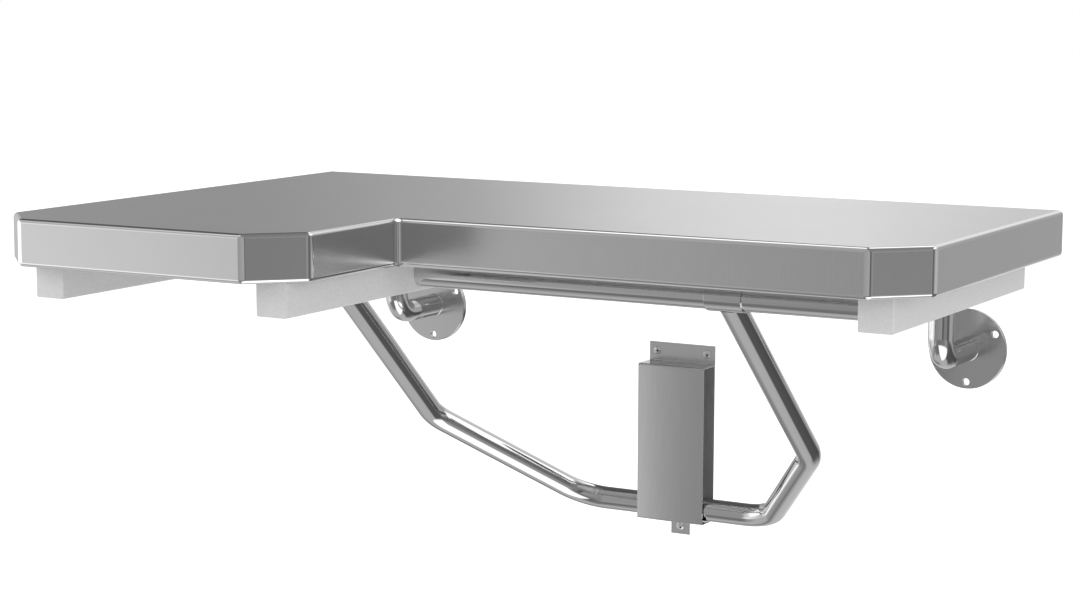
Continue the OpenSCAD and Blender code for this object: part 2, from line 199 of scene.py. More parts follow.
class StudioSettings(PropertyGroup):
    """The plain studio and the camera"""

    floor_level: FloatProperty(name="Floor height", description="Height of the floor", default=-0.48,
                               subtype="DISTANCE", unit="LENGTH")
    ambient: share("Ambient", "Level of the pale surroundings", 0.62, 2.0)
    key: watts("Key lamp", "Power of the lamp in front on the left", 20.0)
    top: watts("Top lamp", "Power of the overhead lamp", 20.0)
    side: watts("Side lamp", "Power of the lamp on the right", 16.0)
    lamp_size: length("Lamp size", "Side of each square lamp", 1.8)
    with_floor: BoolProperty(name="Floor", description="Lay the pale floor", default=True)
    focal: FloatProperty(name="Focal length", description="Focal length in millimetres", default=82.483)


class WallSeatSettings(PropertyGroup):
    """Everything that the operators read"""

    pan: PointerProperty(type=PanSizes)
    bars: PointerProperty(type=BarSizes)
    brace: PointerProperty(type=BraceSizes)
    wall: PointerProperty(type=WallSizes)
    finish: PointerProperty(type=Finishes)
    studio: PointerProperty(type=StudioSettings)


class Signal:
    """A node's output that takes part in Python arithmetic."""

    def __init__(self, builder, socket):
        self.builder, self.socket = builder, socket

    def maths(self, operation, other=0.0, swapped=False):
        first, second = (other, self) if swapped else (self, other)
        return self.builder.add("ShaderNodeMath", {"operation": operation}, {0: first, 1: second})

    def __add__(self, other):
        return self.maths("ADD", other)

    def __sub__(self, other):
        return self.maths("SUBTRACT", other)

    def __rsub__(self, other):
        return self.maths("SUBTRACT", other, True)

    def __mul__(self, other):
        return self.maths("MULTIPLY", other)

    def __truediv__(self, other):
        return self.maths("DIVIDE", other)

    __radd__ = __add__
    __rmul__ = __mul__

    def __getitem__(self, name):
        """The output of that name on the same node."""
        return Signal(self.builder, self.socket.node.outputs[name])


class Builder:
    """Adds nodes to a tree: a node's type, its settings, then the values or links of its sockets."""

    def __init__(self, tree):
        self.tree = tree
        tree.nodes.clear()

    def add(self, kind, settings=None, inputs=None, output=0):
        node = self.tree.nodes.new(kind)
        for key, value in (settings or {}).items():
            if key == "stops":
                elements = node.color_ramp.elements
                while len(elements) < len(value):
                    elements.new(1.0)
                for element, (place, level) in zip(elements, value):
                    element.position, element.color = place, (level, level, level, 1.0)
            else:
                setattr(node, key, value)
        for key, value in (inputs or {}).items():
            socket = node.inputs[key]
            for one in value if isinstance(value, list) else [value]:
                if isinstance(one, Signal):
                    self.tree.links.new(one.socket, socket)
                else:
                    socket.default_value = one
        return Signal(self, node.outputs[output]) if len(node.outputs) else node

    def noise(self, vector, scale, detail=2.0, roughness=0.5):
        return self.add("ShaderNodeTexNoise", None,
                        {"Vector": vector, "Scale": scale, "Detail": detail, "Roughness": roughness})

    def stretched(self, vector, scale):
        return self.add("ShaderNodeVectorMath", {"operation": "MULTIPLY"}, {0: vector, 1: scale})

    def toned(self, fac, tone, low, high):
        """The tone darkened by low and lightened by high, as fac goes from 0 to 1."""
        return self.add("ShaderNodeMix", {"data_type": "RGBA"}, {
            0: fac, 6: (*[c * low for c in tone], 1.0), 7: (*[min(1.0, c * high) for c in tone], 1.0)}, 2)

    def bumped(self, height, strength, distance):
        return self.add("ShaderNodeBump", None, {"Height": height, "Strength": strength, "Distance": distance})


def new_material(name):
    """A material and the builder of its nodes."""
    material = bpy.data.materials.new(name)
    material.use_nodes = True
    return material, Builder(material.node_tree)


def metal(name, tone, rough, grain, tints=(0.96, 1.04), spread=0.10, bump=0.04, spot=0.0, metallic=1.0,
          folds=None, relief=0.0002):
    """A metal finish. Grain is the pattern's scale along the three axes, tints and spread how much it changes the
    tone and the roughness, spot the part of slow clouds in it, and relief the height of its bumps. Where folds
    gives a tone and a roughness, the grain follows the Grain map, and the folds, which the Fold attribute marks,
    have that tone and roughness."""
    material, b = new_material(name)
    place = b.add("ShaderNodeTexCoord")["Object"]
    lay = b.add("ShaderNodeUVMap", {"uv_map": "Grain"}) if folds else place
    streak = b.noise(b.stretched(lay, grain), scale=1.0, detail=3.0, roughness=0.6)
    cloud = b.noise(place, scale=9.0)
    mixed = streak * (1.0 - spot) + cloud * spot
    roughness = mixed * spread + (rough - spread / 2)
    surface = b.toned(mixed, tone, *tints)
    if folds:
        fold = b.add("ShaderNodeAttribute", {"attribute_name": "Fold"})["Fac"]
        roughness = roughness + (folds[1] - roughness) * fold
        # The folds' own tone replaces the grain; for the pan it is lighter, a painted highlight along the folds
        surface = b.add("ShaderNodeMix", {"data_type": "RGBA"}, {0: fold, 6: surface, 7: (*folds[0], 1.0)}, 2)
    shader = b.add("ShaderNodeBsdfPrincipled", None, {
        "Base Color": surface, "Metallic": metallic, "Roughness": roughness,
        "Normal": b.bumped(streak, bump, relief)})
    b.add("ShaderNodeOutputMaterial", None, {"Surface": shader})
    return material


def plastic(name, tone):
    """A moulded plastic with a faint uneven sheen."""
    material, b = new_material(name)
    place = b.add("ShaderNodeTexCoord")["Object"]
    rough, uneven = 0.38, 0.15
    cloud = b.noise(place, scale=160.0, detail=3.0)
    shader = b.add("ShaderNodeBsdfPrincipled", None, {
        "Base Color": b.toned(cloud, tone, low=0.96, high=1.02), "Roughness": cloud * uneven + rough,
        "Normal": b.bumped(b.noise(place, scale=2200.0), strength=0.05, distance=0.0001)})
    b.add("ShaderNodeOutputMaterial", None, {"Surface": shader})
    return material


def finish_named(name):
    """The finish of that name, made when it is first asked for."""
    if name in bpy.data.materials:
        return bpy.data.materials[name]
    looks = bpy.context.scene.wall_seat.finish
    if name == "white_plastic":
        return plastic(name, looks.plastic)
    return metal(name, **{
        "brushed_pan": dict(tone=looks.pan, rough=looks.pan_rough, grain=(40.0, 600.0, 1.0), tints=(0.95, 1.05),
                            # The folds get a lower roughness and a lighter tone, the tone being a painted highlight
                            # along the edges
                            bump=0.05, spot=0.2, folds=(looks.folds, looks.folds_rough)),
        # Dull underside whose lighter tone is painted light under the seat
        "dull_lightened_underside": dict(tone=looks.underside, rough=looks.underside_rough, grain=(300.0, 300.0, 300.0),
                               bump=0.05, metallic=0.3),
        "satin_bar": dict(tone=looks.bars, rough=looks.bars_rough, grain=(480.0, 480.0, 480.0),
                          tints=(0.88, 1.10), spread=0.12, bump=0.8, metallic=0.15, relief=0.0004),
        "polished_tube": dict(tone=looks.tubes, rough=looks.tubes_rough, grain=(90.0, 90.0, 90.0),
                              tints=(0.98, 1.02), spread=0.03, bump=0.003),
        "satin_fitting": dict(tone=looks.fittings, rough=looks.fittings_rough, grain=(700.0, 700.0, 40.0),
                              spread=0.08, bump=0.03),
        # The back plate's darker tone is painted shade from inside the guide
        "satin_shaded_plate": dict(tone=looks.back_plate, rough=looks.plate_rough, grain=(700.0, 700.0, 40.0),
                            bump=0.03, metallic=0.5),
        "bright_screw": dict(tone=looks.screws, rough=looks.screws_rough, grain=(900.0, 900.0, 900.0),
                             spread=0.06, bump=0.02),
    }[name])


def repaint(node, finish):
    """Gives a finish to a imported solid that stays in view."""
    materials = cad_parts[node].data.materials
    materials.clear()
    materials.append(finish_named(finish))


def settle(piece):
    """Turns a piece and its modifiers into a plain mesh."""
    bpy.context.view_layer.update()
    seen = piece.evaluated_get(bpy.context.evaluated_depsgraph_get())
    mesh = bpy.data.meshes.new_from_object(seen)
    piece.modifiers.clear()
    piece.data = mesh
    return piece


def blank(name, bm):
    """A linked object with the mesh of bm."""
    mesh = bpy.data.meshes.new(name)
    bmesh.ops.recalc_face_normals(bm, faces=bm.faces)
    bm.to_mesh(mesh)
    bm.free()
    piece = bpy.data.objects.new(name, mesh)
    bpy.context.scene.collection.objects.link(piece)
    return piece


def carve(piece, *cutters):
    """Cuts other objects out of a piece and removes them."""
    for cutter in cutters:
        cut = piece.modifiers.new("Cut", "BOOLEAN")
        cut.operation, cut.solver, cut.object = "DIFFERENCE", "EXACT", cutter
        settle(piece)
        bpy.data.objects.remove(cutter)
    return piece


def polish_edges(piece, angle=40.0):
    """Smooth shading that stays flat on broad faces and sharp past an angle."""
    mesh = piece.data
    mesh.shade_smooth()
    mesh.set_sharp_from_angle(angle=math.radians(angle))
    even = piece.modifiers.new("Even", "WEIGHTED_NORMAL")
    even.keep_sharp, even.weight = True, 80
    return settle(piece)


def dress(piece, finish, body, slot, *nodes):
    """Gives a finished piece its material, its body and the nodes that it stands for. The slot is not used."""
    piece.data.materials.clear()
    piece.data.materials.append(finish_named(finish))
    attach(piece, body)
    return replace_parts(piece, *nodes)


def bridge(bm, first, second):
    """Joins two rings with as many corners each by a band of faces."""
    for i in range(len(first)):
        j = (i + 1) % len(first)
        bm.faces.new(list(dict.fromkeys((first[i], first[j], second[j], second[i]))))


def prism(outline, low, high, radius=0.0, keep_sharp=(), steps=5):
    """A prism over an outline in X and Y, with every edge rounded but those over the points in keep_sharp."""
    bm = bmesh.new()
    rings = [[bm.verts.new((x, y, z)) for x, y in outline] for z in (low, high)]
    bm.faces.new(rings[0][::-1])
    bm.faces.new(rings[1])
    bridge(bm, *rings)
    if radius:
        sharp = {frozenset((rings[0][i], rings[1][i])) for i in keep_sharp}
        edges = [e for e in bm.edges if frozenset(e.verts) not in sharp]
        bmesh.ops.bevel(bm, geom=edges, offset=radius, offset_type="OFFSET", segments=steps, profile=0.5,
                        affect="EDGES", clamp_overlap=True)
    return bm


def revolved(profile, centre, axis, segments=96):
    """A closed profile of (distance along the axis, radius) turned round an axis through a centre."""
    bm = bmesh.new()
    side = Vector((0.0, 0.0, 1.0))
    across = axis.cross(side)
    turns = [math.tau * i / segments for i in range(segments)]
    rings = []
    for along, radius in profile:
        middle = centre + axis * along
        if radius > 0.0:
            rings.append([bm.verts.new(middle + (side * math.cos(t) + across * math.sin(t)) * radius)
                          for t in turns])
        else:
            rings.append([bm.verts.new(middle)] * segments)
    for first, second in zip(rings, rings[1:] + rings[:1]):
        if first[0] is not first[1] or second[0] is not second[1]:
            bridge(bm, first, second)
    return bm


def rounding(centre_along, centre_radius, radius, start, stop, steps=6):
    """Points of an arc in a profile, from angle start to stop in degrees."""
    turns = [math.radians(start + (stop - start) * i / steps) for i in range(steps + 1)]
    return [(centre_along + radius * math.cos(t), centre_radius + radius * math.sin(t)) for t in turns]


def sleeve(name, x0, x1, y, z, outer, inner, edge):
    """A short round tube along X with softened outer edges."""
    span = x1 - x0
    profile = [(0.0, inner), *rounding(edge, outer - edge, edge, 180, 90, 3),
               *rounding(span - edge, outer - edge, edge, 90, 0, 3), (span, inner)]
    piece = blank(name, revolved(profile, Vector((x0, y, z)), Vector((1.0, 0.0, 0.0))))
    return polish_edges(piece, angle=50.0)


def rod(x0, x1, y, z, radius, axis="X", segments=64):
    """A plain cutter rod along X, or along Y from x0 to x1 when axis says so; y and z are its other two places."""
    way = Vector((1.0, 0.0, 0.0)) if axis == "X" else Vector((0.0, 1.0, 0.0))
    start = Vector((x0, y, z)) if axis == "X" else Vector((y, x0, z))
    return blank("cutter", revolved([(0.0, 0.0), (0.0, radius), (x1 - x0, radius), (x1 - x0, 0.0)],
                                    start, way, segments))


# Steps of the round fold in the pan's inner corner, and its points in the outline
FOLD_STEPS = 6
FOLD = tuple(range(5, 6 + FOLD_STEPS))


def pan_outline(sizes, inset=0.0, rear=0.0):
    """The pan's outline from above, drawn in from its sides and front by inset and from its back by rear."""
    left, right = PAN_LOW.x + inset, PAN_LOW.x + sizes.width - inset
    tongue = PAN_LOW.x + sizes.long_width - inset
    back = PAN_HIGH.y
    front, short_front = back - sizes.depth + inset, back - sizes.short_depth + inset
    cut = sizes.corner_cut - inset * (2 - math.sqrt(2))
    back -= rear
    inner = sizes.edge + inset
    fold = [(tongue + inner * (1 - math.sin(t)), short_front - inner * (1 - math.cos(t)))
            for t in (math.pi / 2 * (1 - i / FOLD_STEPS) for i in range(FOLD_STEPS + 1))]
    return [(left, back), (left, front + cut), (left + cut, front), (tongue - cut, front),
            (tongue, front + cut), *fold, (right - cut, short_front),
            (right, short_front + cut), (right, back)]


def grain_map(piece):
    """Lays the brushed grain from front to back over the pan's top and sides, and upwards on its fronts."""
    lies_flat, faces_sideways, apart = 0.6, 0.85, 2.0
    mesh = piece.data
    layer = mesh.uv_layers.new(name="Grain")
    for face in mesh.polygons:
        normal = face.normal
        for loop in face.loop_indices:
            x, y, z = mesh.vertices[mesh.loops[loop].vertex_index].co
            if abs(normal.z) > lies_flat:
                layer.data[loop].uv = (y, x)
            elif abs(normal.x) > faces_sideways:
                layer.data[loop].uv = (y, z + apart)
            else:
                layer.data[loop].uv = (z, x * abs(normal.y) + y * abs(normal.x) * math.copysign(1.0, normal.x))


def mark_folds(piece):
    """Marks the pan's rounded folds for their polish and for their lighter tone, a painted highlight along the
    edges, and gives the sheet's underside its dull finish with a lighter tone, painted light under the seat.
    """
    flats = [Vector(way).normalized() for way in ((1, 0, 0), (0, 1, 0), (0, 0, 1), (1, -1, 0), (1, 1, 0))]
    flat_enough, down, over_the_lips = 0.9995, -0.9, PAN_LOW.z + 0.003
    fold = piece.data.attributes.new("Fold", "FLOAT", "FACE")
    for face in piece.data.polygons:
        fold.data[face.index].value = float(max(abs(face.normal.dot(way)) for way in flats) < flat_enough)
        # Faces turned down over the lips get the underside finish, whose lighter tone is painted light
        face.material_index = int(face.normal.z < down and face.center.z > over_the_lips)


def filleted(corners, radius, steps=28):
    """A line through corners with an arc of that radius at each inner one."""
    points = [Vector(corners[0])]
    for before, corner, after in zip(corners, corners[1:], corners[2:]):
        before, corner, after = Vector(before), Vector(corner), Vector(after)
        u, v = (corner - before).normalized(), (after - corner).normalized()
        angle = u.angle(v)
        axis = u.cross(v).normalized()
        start = corner - u * radius * math.tan(angle / 2)
        centre = start + axis.cross(u) * radius
        for i in range(steps + 1):
            points.append(centre + Matrix.Rotation(angle * i / steps, 3, axis) @ (start - centre))
    points.append(Vector(corners[-1]))
    return points


def node_tree(name, inputs):
    """An empty geometry tree with these inputs and their defaults, as (builder, input node)."""
    kinds = {int: "NodeSocketInt", float: "NodeSocketFloat", tuple: "NodeSocketVector"}
    builder = Builder(bpy.data.node_groups.new(name, "GeometryNodeTree"))
    interface = builder.tree.interface
    interface.new_socket(name="Geometry", in_out="INPUT", socket_type="NodeSocketGeometry")
    for label, default in inputs.items():
        socket = interface.new_socket(name=label, in_out="INPUT", socket_type=kinds[type(default)])
        socket.default_value = default
    interface.new_socket(name="Material", in_out="INPUT", socket_type="NodeSocketMaterial")
    interface.new_socket(name="Geometry", in_out="OUTPUT", socket_type="NodeSocketGeometry")
    return builder, builder.add("NodeGroupInput")


def finish_tree(builder, source, geometry):
    """Ends a tree with real geometry, smooth shading and its material."""
    real = builder.add("GeometryNodeRealizeInstances", None, {"Geometry": geometry})
    shaded = builder.add("GeometryNodeSetShadeSmooth", None, {"Geometry": real})
    painted = builder.add("GeometryNodeSetMaterial", None,
                          {"Geometry": shaded, "Material": source["Material"]})
    builder.add("NodeGroupOutput", None, {"Geometry": painted})


def grown(piece, make_tree, values):
    """Runs the geometry tree that make_tree makes on a piece, with these inputs, and keeps a plain mesh."""
    name = make_tree.__name__
    if name not in bpy.data.node_groups:
        make_tree(name)
    modifier = piece.modifiers.new(name, "NODES")
    modifier.node_group = bpy.data.node_groups[name]
    sockets = {socket.name: socket.identifier for socket in modifier.node_group.interface.items_tree
               if socket.in_out == "INPUT"}
    for label, value in values.items():
        modifier[sockets[label]] = value
    return settle(piece)


def bent_tube_tree(name):
    """Geometry nodes for a round tube along a line, its ends shaped to a sleeve that lies along X."""
    b, source = node_tree(name, {"Tube radius": 0.0114, "Bore radius": 0.0098, "Facets": 72,
                                 "Sleeve radius": 0.013, "Sleeve centre": (0.0, 0.0, 0.0)})
    line = b.add("GeometryNodeMeshToCurve", None, {"Mesh": source["Geometry"]})
    skins = []
    for radius in ("Tube radius", "Bore radius"):
        ring = b.add("GeometryNodeCurvePrimitiveCircle", {"mode": "RADIUS"},
                     {"Resolution": source["Facets"], "Radius": source[radius]})
        skins.append(b.add("GeometryNodeCurveToMesh", None,
                           {"Curve": line, "Profile Curve": ring, "Fill Caps": True}))
    saddle = b.add("GeometryNodeMeshCylinder", None,
                   {"Vertices": 96, "Radius": source["Sleeve radius"], "Depth": 1.0})
    laid = b.add("GeometryNodeTransform", None, {
        "Geometry": saddle, "Translation": source["Sleeve centre"], "Rotation": (0.0, math.pi / 2, 0.0)})
    shaped = b.add("GeometryNodeMeshBoolean", {"operation": "DIFFERENCE"},
                   {"Mesh 1": skins[0], "Mesh 2": [skins[1], laid]})
    finish_tree(b, source, shaped)


def bent_tube(name, corners, bend, radius, wall, sleeve_radius, sleeve_centre):
    """A bent tube along corners, its ends shaped to a sleeve."""
    bm = bmesh.new()
    verts = [bm.verts.new(point) for point in filleted(corners, bend)]
    for first, second in zip(verts, verts[1:]):
        bm.edges.new((first, second))
    piece = grown(blank(name, bm), bent_tube_tree, {
        "Tube radius": radius, "Bore radius": radius - wall, "Sleeve radius": sleeve_radius,
        "Sleeve centre": sleeve_centre, "Material": finish_named("polished_tube")})
    piece.data.set_sharp_from_angle(angle=math.radians(32.0))
    return piece


class WALLSEAT_OT_pan(Operator):
    """Fold the sheet steel seat pan with its cut corners, lips and rear notches"""

    bl_idname = "wallseat.pan"
    bl_label = "Seat pan"

    def execute(self, context):
        sizes, legs = context.scene.wall_seat.pan, context.scene.wall_seat.brace.leg_gap
        low, high = PAN_LOW.z, PAN_LOW.z + sizes.height
        past, overlap = 0.01, 0.001  # how far the cutters reach outside and inside the sheet
        hollow = prism(pan_outline(sizes, sizes.sheet, sizes.sheet), low + sizes.sheet, high - sizes.sheet,
                       sizes.edge - sizes.sheet, FOLD, steps=3)
        mouth = prism(pan_outline(sizes, sizes.lip, sizes.sheet), low - past, low + past)
        cutters = [hollow, mouth]
        y0, y1 = PAN_HIGH.y - sizes.sheet - overlap, PAN_HIGH.y + past
        for way in (-1, 1):
            x = GUIDE_X + way * (legs / 2 - sizes.notch_inset)
            x0, x1 = x - sizes.notch_width / 2, x + sizes.notch_width / 2
            cutters.append(prism([(x0, y0), (x1, y0), (x1, y1), (x0, y1)], low - past, high - sizes.notch_lip))
        pan = carve(blank("pan", prism(pan_outline(sizes), low, high, sizes.edge, FOLD)),
                    *[blank("cutter", bm) for bm in cutters])
        grain_map(polish_edges(pan))
        dress(pan, "brushed_pan", "seat", "satin_steel", "seat_pan")
        # Second slot: the dull underside with a lighter tone, painted light under the seat
        pan.data.materials.append(finish_named("dull_lightened_underside"))
        mark_folds(pan)
        return {"FINISHED"}


def square_ring(size, radius, steps=5):
    """Points of a square with round corners, centred."""
    half = size / 2 - radius
    points = []
    for turn, (x, y) in enumerate(((1, 1), (-1, 1), (-1, -1), (1, -1))):
        for i in range(steps + 1):
            angle = math.pi / 2 * (turn + i / steps)
            points.append((x * half + radius * math.cos(angle), y * half + radius * math.sin(angle)))
    return points


def square_tube(name, x, z, y0, y1, sizes):
    """A hollow square bar along Y."""
    bm = bmesh.new()
    bore, bore_corner = sizes.size - 2 * sizes.wall, 0.0002
    loops = [[bm.verts.new((x + a, y, z + b)) for a, b in square_ring(size, radius)]
             for y, size, radius in ((y0, sizes.size, sizes.corner), (y1, sizes.size, sizes.corner),
                                     (y1, bore, bore_corner), (y0, bore, bore_corner))]
    for first, second in zip(loops, loops[1:] + loops[:1]):
        bridge(bm, first, second)
    return blank(name, bm)


def end_plates(name, ends, sizes, way):
    """Plates that close the bars' ends, with softened outer edges; way is -1 for plates that face the room."""
    bm = bmesh.new()
    soft = 0.0009
    for x, y, z in ends:
        outer = y + way * sizes.plate
        steps = [(y, 0.0), (outer - way * soft, 0.0)]
        steps += [(outer - way * soft * (1 - math.sin(t)), soft * (1 - math.cos(t)))
                  for t in (math.pi / 6, math.pi / 3, math.pi / 2)]
        loops = [[bm.verts.new((x + a, level, z + b)) for a, b in
                  square_ring(sizes.size - 2 * inset, sizes.corner - inset)] for level, inset in steps]
        for first, second in zip(loops, loops[1:]):
            bridge(bm, first, second)
        bm.faces.new(loops[0])
        bm.faces.new(loops[-1])
    return polish_edges(blank(name, bm))


class WALLSEAT_OT_bars(Operator):
    """Build the three square bars with their end plates, and finish the channels on them"""

    bl_idname = "wallseat.bars"
    bl_label = "Square bars"

    def execute(self, context):
        sizes = context.scene.wall_seat.bars
        hole = sizes.tube / 2 + sizes.play
        # Where the holes of each bar start and stop, in bars' widths from its middle, and their places along it
        holes = {"left": (0, 1, CROSS_Y, HINGE_Y), "middle": (-1, 1, CROSS_Y), "right": (-1, 0, CROSS_Y, HINGE_Y)}
        fronts, rears = [], []
        for side, (low, high) in BAR_BOXES.items():
            x, z = (low.x + high.x) / 2, (low.z + high.z) / 2
            start, stop, *places = holes[side]
            bar = carve(square_tube(side + "_bar", x, z, low.y, high.y, sizes),
                        *[rod(x + start * sizes.size, x + stop * sizes.size, y, z, hole) for y in places])
            dress(polish_edges(bar), "satin_bar", "seat", "satin_steel", "bar_" + side)
            repaint("riser_" + side, "satin_bar")
            fronts.append((x, low.y, z))
            rears.append((x, high.y, z))
        for end, places, way in (("front", fronts, -1), ("rear", rears, 1)):
            dress(end_plates(end + "_plates", places, sizes, way), "satin_bar", "seat", "satin_steel",
                  end + "_caps")
        return {"FINISHED"}


class WALLSEAT_OT_seat_tubes(Operator):
    """Build the cross tube, the hinge tubes and the sleeves at the top of the brace"""

    bl_idname = "wallseat.seat_tubes"
    bl_label = "Seat tubes"

    def execute(self, context):
        sizes = context.scene.wall_seat.bars
        outer = sizes.tube / 2
        inner, bore = outer - sizes.tube_wall, outer + sizes.play
        tube_edge, sleeve_edge = 0.0003, 0.0004
        tubes = [("long_cross_tube", CROSS_LOW, CROSS_HIGH, CROSS_Y, outer, inner, tube_edge, "cross_tube")]
        tubes += [(side + "_hinge_tube", *HINGE_BOXES[side], HINGE_Y, outer, inner, tube_edge,
                   "hinge_tube_" + side) for side in SIDES]
        tubes += [(side + "_brace_sleeve", *SLEEVE_BOXES[side], CROSS_Y, bore + sizes.sleeve_wall, bore,
                   sleeve_edge, "brace_sleeve_" + side) for side in SIDES]
        for name, low, high, y, outside, inside, edge, node in tubes:
            dress(sleeve(name, low.x, high.x, y, HINGE_Z, outside, inside, edge), "polished_tube", "seat",
                  "polished_steel", node)
        return {"FINISHED"}


class WALLSEAT_OT_brace(Operator):
    """Bend the brace out of one tube and put the plastic glide on its foot"""

    bl_idname = "wallseat.brace"
    bl_label = "Brace"

    def execute(self, context):
        sizes, bars = context.scene.wall_seat.brace, context.scene.wall_seat.bars
        outer = bars.tube / 2
        x0, x1 = GUIDE_X - sizes.leg_gap / 2, GUIDE_X + sizes.leg_gap / 2
        knee_y, knee_z = CROSS_Y + sizes.leg_reach, HINGE_Z - sizes.leg_drop
        corners = [(x0, CROSS_Y, HINGE_Z), (x0, knee_y, knee_z), (GUIDE_X - sizes.foot_gap / 2, FOOT_Y, FOOT_Z),
                   (GUIDE_X + sizes.foot_gap / 2, FOOT_Y, FOOT_Z), (x1, knee_y, knee_z), (x1, CROSS_Y, HINGE_Z)]
        saddle = outer + bars.play + bars.sleeve_wall + sizes.pivot_gap
        loop = bent_tube("brace_loop", corners, sizes.bend, outer, bars.tube_wall, saddle,
                         (GUIDE_X, CROSS_Y, HINGE_Z))
        dress(loop, "polished_tube", "brace", "polished_steel", "brace_tube")
        glide = sleeve("foot_glide", GLIDE_LOW.x, GLIDE_HIGH.x, FOOT_Y, FOOT_Z,
                       outer + bars.play + sizes.glide, outer + bars.play, edge=0.0002)
        dress(glide, "white_plastic", "glide_carriage", "white_plastic", "glide")
        return {"FINISHED"}


class WALLSEAT_OT_posts(Operator):
    """Build the two wall posts with their hinge sleeves and bushes"""

    bl_idname = "wallseat.posts"
    bl_label = "Wall posts"

    def execute(self, context):
        sizes, bars = context.scene.wall_seat.wall, context.scene.wall_seat.bars
        outer = bars.tube / 2
        bore = outer + bars.play
        bush = bore + sizes.bush
        shell = bush + sizes.hinge_wall
        for side, (low, high) in FLANGE_BOXES.items():
            x = (low.x + high.x) / 2
            top = (x, HINGE_Y, HINGE_Z)
            post = bent_tube(side + "_post", [(x, -sizes.flange_sheet, 0.0), (x, HINGE_Y, 0.0), top], sizes.elbow,
                             outer, bars.tube_wall, shell, top)
            dress(post, "polished_tube", "wall_mount", "polished_steel", "post_" + side)
            x0, x1 = x - sizes.hinge_length / 2, x + sizes.hinge_length / 2
            dress(sleeve(side + "_hinge_sleeve", x0, x1, HINGE_Y, HINGE_Z, shell, bush, edge=0.0005),
                  "polished_tube", "wall_mount", "polished_steel", "hinge_sleeve_" + side)
            dress(sleeve(side + "_bush", x0, x1, HINGE_Y, HINGE_Z, bush, bore, edge=0.0002),
                  "white_plastic", "wall_mount", "white_plastic", "hinge_bush_" + side)
        return {"FINISHED"}


def ring_of_holes_tree(name):
    """Geometry nodes that drill a ring of softened holes through a disc which lies on the wall."""
    b, source = node_tree(name, {"Holes": 3, "Circle radius": 0.0315, "Hole radius": 0.003, "Disc thickness": 0.0048,
                                 "Centre": (0.0, 0.0, 0.0), "Turn": 0.0})
    places = b.add("GeometryNodeMeshCircle", None,
                   {"Vertices": source["Holes"], "Radius": source["Circle radius"]})
    drill = b.add("GeometryNodeMeshCylinder", None,
                  {"Vertices": 40, "Radius": source["Hole radius"], "Depth": 0.03})
    softened, half = 0.0002, 0.001  # the holes' softened edge, and half the height of the cone that cuts it
    flare = source["Hole radius"] + softened
    mouth = b.add("GeometryNodeMeshCone", None, {
        "Vertices": 40, "Radius Top": flare + half, "Radius Bottom": flare - half, "Depth": 2 * half})
    lift = b.add("ShaderNodeCombineXYZ", None, {"Z": source["Disc thickness"] - half})
    raised = b.add("GeometryNodeTransform", None, {"Geometry": mouth, "Translation": lift})
    spin = b.add("ShaderNodeCombineXYZ", None, {"X": math.pi / 2, "Y": source["Turn"]})
    cutters = []
    for tool in (drill, raised):
        ring = b.add("GeometryNodeInstanceOnPoints", None, {"Points": places, "Instance": tool})
        laid = b.add("GeometryNodeTransform", None, {
            "Geometry": ring, "Rotation": spin, "Translation": source["Centre"]})
        cutters.append(b.add("GeometryNodeRealizeInstances", None, {"Geometry": laid}))
    drilled = b.add("GeometryNodeMeshBoolean", {"operation": "DIFFERENCE"},
                    {"Mesh 1": source["Geometry"], "Mesh 2": cutters})
    finish_tree(b, source, drilled)


class WALLSEAT_OT_flanges(Operator):
    """Turn the two round wall plates and drill their screw holes"""

    bl_idname = "wallseat.flanges"
    bl_label = "Wall flanges"

    def execute(self, context):
        sizes, post = context.scene.wall_seat.wall, context.scene.wall_seat.bars.tube / 2
        half, sheet, rim, weld = sizes.flange / 2, sizes.flange_sheet, sizes.flange_rim, sizes.weld
        profile = [(0.0, 0.0), (0.0, half), *rounding(sheet - rim, half - rim, rim, 90, 0),
                   (sheet, post + weld), (sheet + weld, post), (sheet, post - weld), (sheet, 0.0)]
        for side, (low, high) in FLANGE_BOXES.items():
            centre = Vector(((low.x + high.x) / 2, 0.0, 0.0))
            disc = blank(side + "_flange", revolved(profile, centre, Vector((0.0, -1.0, 0.0)), segments=128))
            grown(disc, ring_of_holes_tree, {
                "Holes": sizes.holes, "Circle radius": sizes.hole_circle / 2, "Hole radius": sizes.hole / 2,
                "Disc thickness": sheet, "Centre": centre, "Turn": sizes.hole_turn,
                "Material": finish_named("satin_fitting")})
            dress(polish_edges(disc, angle=30.0), "satin_fitting", "wall_mount", "satin_steel", "flange_" + side)
        return {"FINISHED"}


def bent_strip(bm, line, radius, sheet, x0, x1):
    """Adds a bent sheet to bm, along a line of (y, z) corners on its middle, from x0 to x1."""
    middle = filleted([(0.0, y, z) for y, z in line], radius + sheet / 2, steps=6)
    last = len(middle) - 1
    edge = []
    for i, point in enumerate(middle):
        before, after = middle[max(0, i - 1)], middle[min(last, i + 1)]
        way = ((point - before).normalized() + (after - point).normalized()).normalized()
        edge.append(Vector((0.0, -way.z, way.y)) * sheet / 2)
    for start in range(last):
        v = [bm.verts.new((x, *(middle[k] + edge[k] * sign).yz))
             for x in (x0, x1) for k in (start, start + 1) for sign in (-1, 1)]
        sides = [(0, 2, 6, 4), (1, 5, 7, 3), (0, 1, 3, 2), (4, 6, 7, 5)]
        if start == 0:
            sides.append((0, 4, 5, 1))
        if start + 1 == last:
            sides.append((2, 3, 7, 6))
        for side in sides:
            bm.faces.new([v[k] for k in side])


